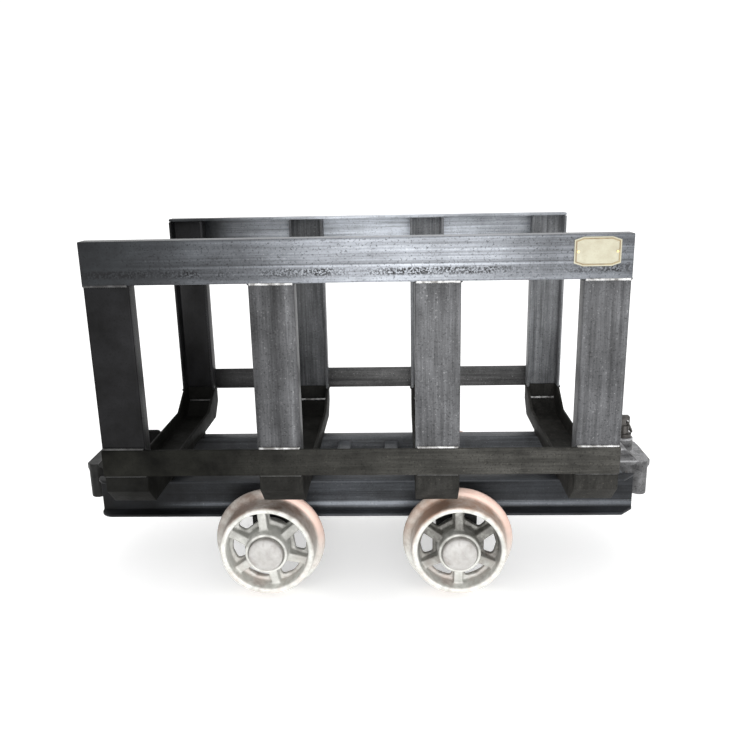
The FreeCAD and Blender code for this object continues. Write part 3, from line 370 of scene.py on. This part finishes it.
# an even coat with soiled clouds and flecks, for the plate, its border and the felt
def coat(name, look):
    material, tree, shader = newMaterial(name)
    vector = objectCoords(tree)
    cloud = noise(tree, vector, look["cloud"], 4, 0.6)
    grain = noise(tree, vector, look["cloud"] * coatGrain["finer"], 3, 0.6)
    base = mixColour(tree, ramp(tree, cloud, 0.4, 0.62), look["clean"], look["soiled"])
    base = mixColour(tree, ramp(tree, grain, 0.62, 0.72, 0, 0.5), base, look["fleck"])
    link(tree, base, shader.inputs["Base Color"])
    smooth, rough = look["rough"] - coatGrain["spread"], look["rough"] + coatGrain["spread"]
    link(tree, ramp(tree, grain, 0.3, 0.7, smooth, rough), shader.inputs["Roughness"])
    bump(tree, shader, grain, look["relief"], coatGrain["depth"])
    return material


coatLooks = {
    "creamPlate": {"clean": (0.345, 0.327, 0.235), "soiled": (0.30, 0.275, 0.19),
                   "fleck": (0.26, 0.22, 0.14), "cloud": 30, "rough": 0.42, "relief": 0.2},
    "brownBorder": {"clean": (0.26, 0.20, 0.10), "soiled": (0.17, 0.12, 0.06),
                    "fleck": (0.40, 0.36, 0.24), "cloud": 40, "rough": 0.5, "relief": 0.2},
    "oiledFelt": {"clean": (0.20, 0.17, 0.13), "soiled": (0.10, 0.08, 0.06),
                  "fleck": (0.28, 0.25, 0.2), "cloud": 90, "rough": 0.92, "relief": 0.8},
}
finishes.update({name: coat(name, look) for name, look in coatLooks.items()})
print("finishes:", len(finishes))


# mesh helpers
def deselectAll():
    if bpy.context.object and bpy.context.object.mode != "OBJECT":
        bpy.ops.object.mode_set(mode="OBJECT")
    bpy.ops.object.select_all(action="DESELECT")


def pick(piece):
    deselectAll()
    piece.select_set(True)
    bpy.context.view_layer.objects.active = piece


def applyModifier(piece, kind, **settings):
    pick(piece)
    modifier = piece.modifiers.new(kind.lower(), kind)
    for name, value in settings.items():
        setattr(modifier, name, value)
    bpy.ops.object.modifier_apply(modifier=modifier.name)


def finishPiece(piece, body, finish, replaced=()):
    piece.data.materials.clear()
    piece.data.materials.append(finish)
    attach(piece, body)
    if replaced:
        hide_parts(*replaced)


edges = {"merge": 0.000002, "flatBelow": math.radians(1), "bevelAbove": math.radians(40),
         "steps": 2, "smoothBelow": math.radians(35)}


# a copy of a CAD node's mesh with its triangles merged and its flat faces whole again
def copyOf(nodeName, name):
    piece = bpy.data.objects.new(name, nodes[nodeName].data.copy())
    scene.collection.objects.link(piece)
    pick(piece)
    bpy.ops.object.mode_set(mode="EDIT")
    bpy.ops.mesh.select_all(action="SELECT")
    bpy.ops.mesh.remove_doubles(threshold=edges["merge"])
    bpy.ops.mesh.dissolve_limited(angle_limit=edges["flatBelow"])
    bpy.ops.object.mode_set(mode="OBJECT")
    return piece


# rolled or sawn steel: the CAD shape with its edges eased
def softEdged(nodeName, body, finish, width):
    piece = copyOf(nodeName, nodeName + "_eased")
    applyModifier(piece, "BEVEL", width=width, segments=edges["steps"], limit_method="ANGLE",
                  angle_limit=edges["bevelAbove"], use_clamp_overlap=False,
                  miter_outer="MITER_ARC")
    pick(piece)
    bpy.ops.object.shade_smooth_by_angle(angle=edges["smoothBelow"])
    finishPiece(piece, body, finish, [nodeName])


castings = {
    "bumper": {"voxel": 0.0028, "passes": 3},
    "wheel": {"voxel": 0.0026, "passes": 12},
    "cap": {"voxel": 0.0016, "passes": 4},
}


# cast iron: the CAD shape remeshed and relaxed, so its edges and corners round off
def castPiece(nodeName, body, finish, casting):
    piece = copyOf(nodeName, nodeName + "_cast")
    applyModifier(piece, "REMESH", mode="VOXEL", voxel_size=casting["voxel"], adaptivity=0.0)
    applyModifier(piece, "SMOOTH", factor=0.5, iterations=casting["passes"])
    pick(piece)
    bpy.ops.object.shade_smooth()
    finishPiece(piece, body, finish, [nodeName])


camera = {"place": (0.125, -2.548, 1.342), "yaw": -1.995, "pitch": 15.291, "roll": -1.115,
          "lens": 37.31, "film": 36, "sees": 100}


def placeCamera():
    data = bpy.data.cameras.new("camera")
    data.lens = camera["lens"]
    data.sensor_width = camera["film"]
    data.clip_end = camera["sees"]
    view = bpy.data.objects.new("camera", data)
    scene.collection.objects.link(view)
    turn = Matrix.Rotation(-math.radians(camera["yaw"]), 4, "Z")
    tilt = Matrix.Rotation(math.radians(90 - camera["pitch"]), 4, "X")
    roll = Matrix.Rotation(math.radians(camera["roll"]), 4, "Z")
    view.matrix_world = Matrix.Translation(camera["place"]) @ turn @ tilt @ roll
    scene.camera = view


placeCamera()

# finish: the nodes that take it, their slot and how far their edges are eased
easedNodes = {
    "railEnamel": (["top_rail_near"], "black_paint", 0.0015),
    "farRailEnamel": (["top_rail_far"], "black_paint", 0.0015),
    "postEnamel": ([f"post_{index}_near" for index in range(1, 5)], "black_paint", 0.0035),
    "farPostEnamel": ([f"post_{index}_far" for index in range(1, 5)], "black_paint", 0.0035),
    "barEnamel": (["side_bar_near"], "black_paint", 0.0025),
    "farBarEnamel": (["side_bar_far"], "black_paint", 0.0025),
    "bowEnamel": ([f"bow_{index}" for index in range(1, 5)], "black_paint", 0.0025),
    "sillEnamel": (["sill_near"], "sill_paint", 0.0025),
    "farSillEnamel": (["sill_far", "end_beam_left", "end_beam_right", "mid_beam_left",
                       "mid_beam_right"], "sill_paint", 0.0025),
}
for finishName, (names, slotName, width) in easedNodes.items():
    for nodeName in names:
        softEdged(nodeName, "frame", finishes[finishName], width)
print("frame pieces eased")

for nodeName in ("bumper_left", "bumper_right"):
    castPiece(nodeName, "frame", finishes["bumperEnamel"], castings["bumper"])
print("bumpers cast")

for name in wheelNames:
    low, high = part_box("wheel_" + name)
    centre = (low + high) / 2
    body = "wheel_" + name
    wheelFinish = castWheel("castSteel_" + name, centre, wheelLook | wheelWearAndShade[name])
    castPiece("wheel_" + name, body, wheelFinish, castings["wheel"])
    capFinish = castWheel("capSteel_" + name, centre, capLook)
    castPiece("hub_cap_" + name, body, capFinish, castings["cap"])
print("wheels cast")

# CAD nodes that stay, in their finishes
kept = {
    "fastenerSteel": ["bumper_bolts", "bumper_nuts", "axle_u_bolts", "axle_u_bolt_nuts",
                      "axle_nuts"],
    "forgedSteel": ["coupling_pin", "pin_ring"],
    "turnedSteel": ["axle_left", "axle_right"],
    "groundSteel": ["inner_rings_left", "inner_rings_right"] + [
        kind + name for kind in ("outer_rings_", "rollers_") for name in wheelNames],
    "seatIron": ["axle_seat_" + name for name in wheelNames],
    "dullBrass": ["plate_rivets"],
    "creamPlate": ["blank_plate"],
    "oiledFelt": ["felt_seals"],
    "bowEnamel": ["bow_packers"],
}
for finishName, names in kept.items():
    for nodeName in names:
        for materialSlot in nodes[nodeName].material_slots:
            materialSlot.material = finishes[finishName]

# a ripple is two steps, each a share of the pitch and how much the ring grows over it
beads = {"radius": 0.0048, "pitch": 0.0062, "sides": 8, "start": 0.82,
         "ripple": ((0.62, 1.22), (0.38, 0.82)), "merge": 0.0002, "wobble": 0.0005}


# one rippled bead along +X from the origin: a ring extruded into a ripple, repeated and capped
def makeBead(length, seed):
    count = max(2, round(length / beads["pitch"]))
    step = length / count
    deselectAll()
    bpy.ops.mesh.primitive_circle_add(vertices=beads["sides"],
                                      radius=beads["radius"] * beads["start"],
                                      rotation=(0, math.pi / 2, 0))
    bead = bpy.context.object
    bpy.ops.object.transform_apply(location=True, rotation=True, scale=True)
    bpy.ops.object.mode_set(mode="EDIT")
    for share, grow in beads["ripple"]:
        bpy.ops.mesh.extrude_region_move(TRANSFORM_OT_translate={"value": (step * share, 0, 0)})
        bpy.ops.transform.resize(value=(1, grow, grow))
    bpy.ops.object.mode_set(mode="OBJECT")
    applyModifier(bead, "ARRAY", count=count, use_relative_offset=False,
                  use_constant_offset=True, constant_offset_displace=(step, 0, 0),
                  use_merge_vertices=True, merge_threshold=beads["merge"])
    bpy.ops.object.mode_set(mode="EDIT")
    bpy.ops.mesh.select_all(action="DESELECT")
    bpy.ops.mesh.select_mode(type="EDGE")
    bpy.ops.mesh.select_non_manifold()
    bpy.ops.mesh.edge_face_add()
    bpy.ops.mesh.select_all(action="SELECT")
    bpy.ops.transform.vertex_random(offset=beads["wobble"], seed=seed)
    bpy.ops.mesh.normals_make_consistent(inside=False)
    bpy.ops.object.mode_set(mode="OBJECT")
    return bead


# beads along each (start, end) run, joined into one piece on the frame
def weldRuns(name, runs, finish):
    made = []
    for seed, (start, end) in enumerate(runs):
        start, end = Vector(start), Vector(end)
        bead = makeBead((end - start).length, seed)
        turn = Vector((1, 0, 0)).rotation_difference(end - start).to_matrix().to_4x4()
        bead.data.transform(Matrix.Translation(start) @ turn)
        made.append(bead)
    deselectAll()
    for bead in made:
        bead.select_set(True)
    bpy.context.view_layer.objects.active = made[0]
    bpy.ops.object.join()
    piece = bpy.context.object
    piece.name = name
    bpy.ops.object.shade_smooth()
    finishPiece(piece, "frame", finishes[finish])


# how far the beads stand from the corners they fill and stop short of the edges
weldPlaces = {"proud": 0.002, "under": 0.001, "railEnd": 0.003, "barEnd": 0.004, "faceBack": 0.004,
              "tipTop": 0.008, "tipFoot": 0.003, "bowEnd": 0.011, "bowBack": 0.007,
              "bowDrop": 0.056}
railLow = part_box("top_rail_near")[0].z
barLow, barHigh = (corner.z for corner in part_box("side_bar_near"))


# a level run across a post's face
def across(left, right, short, depth, height):
    return (left + short, depth, height), (right - short, depth, height)


topRuns, hiddenRuns, barTopRuns, barLowRuns, bowRuns = [], [], [], [], []
for index in range(1, 5):
    for side, sign in (("near", -1), ("far", 1)):
        low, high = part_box(f"post_{index}_{side}")
        face = sign * max(abs(low.y), abs(high.y))
        tip = sign * min(abs(low.y), abs(high.y))
        left, right = low.x, high.x
        outside = face + sign * weldPlaces["proud"]
        back = face - sign * weldPlaces["faceBack"]
        under = railLow - weldPlaces["under"]
        topRuns.append(across(left, right, weldPlaces["railEnd"], outside, under))
        for edge in (left, right):
            hiddenRuns.append(((edge, back, under),
                               (edge, tip + sign * weldPlaces["tipTop"], under)))
            hiddenRuns.append(((edge, back, low.z),
                               (edge, tip + sign * weldPlaces["tipFoot"], low.z)))
        bowRuns.append(across(left, right, weldPlaces["bowEnd"],
                              face - sign * weldPlaces["bowBack"], low.z - weldPlaces["bowDrop"]))
        barTopRuns.append(across(left, right, weldPlaces["barEnd"], outside,
                                 barHigh + weldPlaces["under"]))
        barLowRuns.append(across(left, right, weldPlaces["barEnd"], outside,
                                 barLow - weldPlaces["under"]))
welds = {
    "weldsPostTops": (topRuns, "weldMetal"),
    "weldsBarTops": (barTopRuns, "weldMetal"),
    "weldsBows": (bowRuns, "weldMetal"),
    "weldsBarFeet": (barLowRuns, "paintedWeld"),
    "weldsPostSides": (hiddenRuns, "paintedWeld"),
}
for name, (runs, finish) in welds.items():
    weldRuns(name, runs, finish)
print("welds laid:", sum(len(runs) for runs, finish in welds.values()))

border = {"inset": 0.0035, "width": 0.0030, "depth": 0.0011, "cornerWide": 0.021,
          "cornerTall": 0.0075, "gap": 0.0002, "edge": 0.0003, "edgeSteps": 2}


# a raised line round the blank plate, just inside its edge
def makePlateBorder():
    low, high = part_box("blank_plate")
    centre = (low + high) / 2
    wide = high.x - low.x - 2 * border["inset"]
    tall = high.z - low.z - 2 * border["inset"]
    deselectAll()
    bpy.ops.mesh.primitive_plane_add(size=1, rotation=(math.pi / 2, 0, 0),
                                     location=(centre.x, low.y - border["gap"], centre.z))
    line = bpy.context.object
    line.name = "plateBorder"
    line.scale = (wide, tall, 1)
    bpy.ops.object.transform_apply(location=True, rotation=True, scale=True)
    bpy.ops.object.mode_set(mode="EDIT")
    for sideways in (-1, 1):
        for up in (-1, 1):
            corner = Vector((centre.x + sideways * wide / 2, low.y, centre.z + up * tall / 2))
            slope = Vector((sideways * border["cornerTall"], 0, up * border["cornerWide"]))
            bpy.ops.mesh.select_all(action="SELECT")
            start = corner - Vector((sideways * border["cornerWide"], 0, 0))
            bpy.ops.mesh.bisect(plane_co=start, plane_no=slope, clear_outer=True)
    bpy.ops.mesh.select_all(action="SELECT")
    bpy.ops.mesh.inset(thickness=border["width"])
    bpy.ops.mesh.delete(type="FACE")
    bpy.ops.object.mode_set(mode="OBJECT")
    applyModifier(line, "SOLIDIFY", thickness=border["depth"], offset=1.0)
    applyModifier(line, "BEVEL", width=border["edge"], segments=border["edgeSteps"])
    pick(line)
    bpy.ops.object.mode_set(mode="EDIT")
    bpy.ops.mesh.select_all(action="SELECT")
    bpy.ops.mesh.normals_make_consistent(inside=False)
    bpy.ops.object.mode_set(mode="OBJECT")
    bpy.ops.object.shade_smooth_by_angle(angle=edges["smoothBelow"])
    finishPiece(line, "frame", finishes["brownBorder"])


makePlateBorder()
print("plate bordered")

floorLook = {"size": 60, "cloud": 3.0, "low": (0.90, 0.90, 0.90), "high": (0.93, 0.93, 0.93),
             "rough": 0.9, "shine": 0.1, "glow": 0.30}
daylight = 1.08
frontPanel = {"place": (0.75, -4.5, 0.62), "aim": (0.75, 0, 0.62), "size": (3.2, 1.15),
              "power": 130}

deselectAll()
bpy.ops.mesh.primitive_plane_add(size=floorLook["size"])
floor = bpy.context.object
floor.name = "floor"
pale, tree, shader = newMaterial("paleFloor")
grain = noise(tree, objectCoords(tree), floorLook["cloud"], 4, 0.6)
link(tree, mixColour(tree, grain, floorLook["low"], floorLook["high"]), shader.inputs["Base Color"])
shader.inputs["Roughness"].default_value = floorLook["rough"]
shader.inputs["Specular IOR Level"].default_value = floorLook["shine"]
shader.inputs["Emission Color"].default_value = (1, 1, 1, 1)
shader.inputs["Emission Strength"].default_value = floorLook["glow"]
floor.data.materials.append(pale)

world = bpy.data.worlds.new("softDay")
scene.world = world
world.use_nodes = True
background = world.node_tree.nodes["Background"]
background.inputs["Color"].default_value = (1, 1, 1, 1)
background.inputs["Strength"].default_value = daylight
scene.view_settings.view_transform = "Standard"


# a soft light in front of the cart
def addPanel(name, look):
    data = bpy.data.lights.new(name, "AREA")
    data.shape = "RECTANGLE"
    data.size, data.size_y = look["size"]
    data.energy = look["power"]
    panel = bpy.data.objects.new(name, data)
    scene.collection.objects.link(panel)
    panel.location = look["place"]
    direction = Vector(look["aim"]) - Vector(look["place"])
    panel.rotation_euler = direction.to_track_quat("-Z", "Y").to_euler()


addPanel("frontPanel", frontPanel)
print("floor and light set")
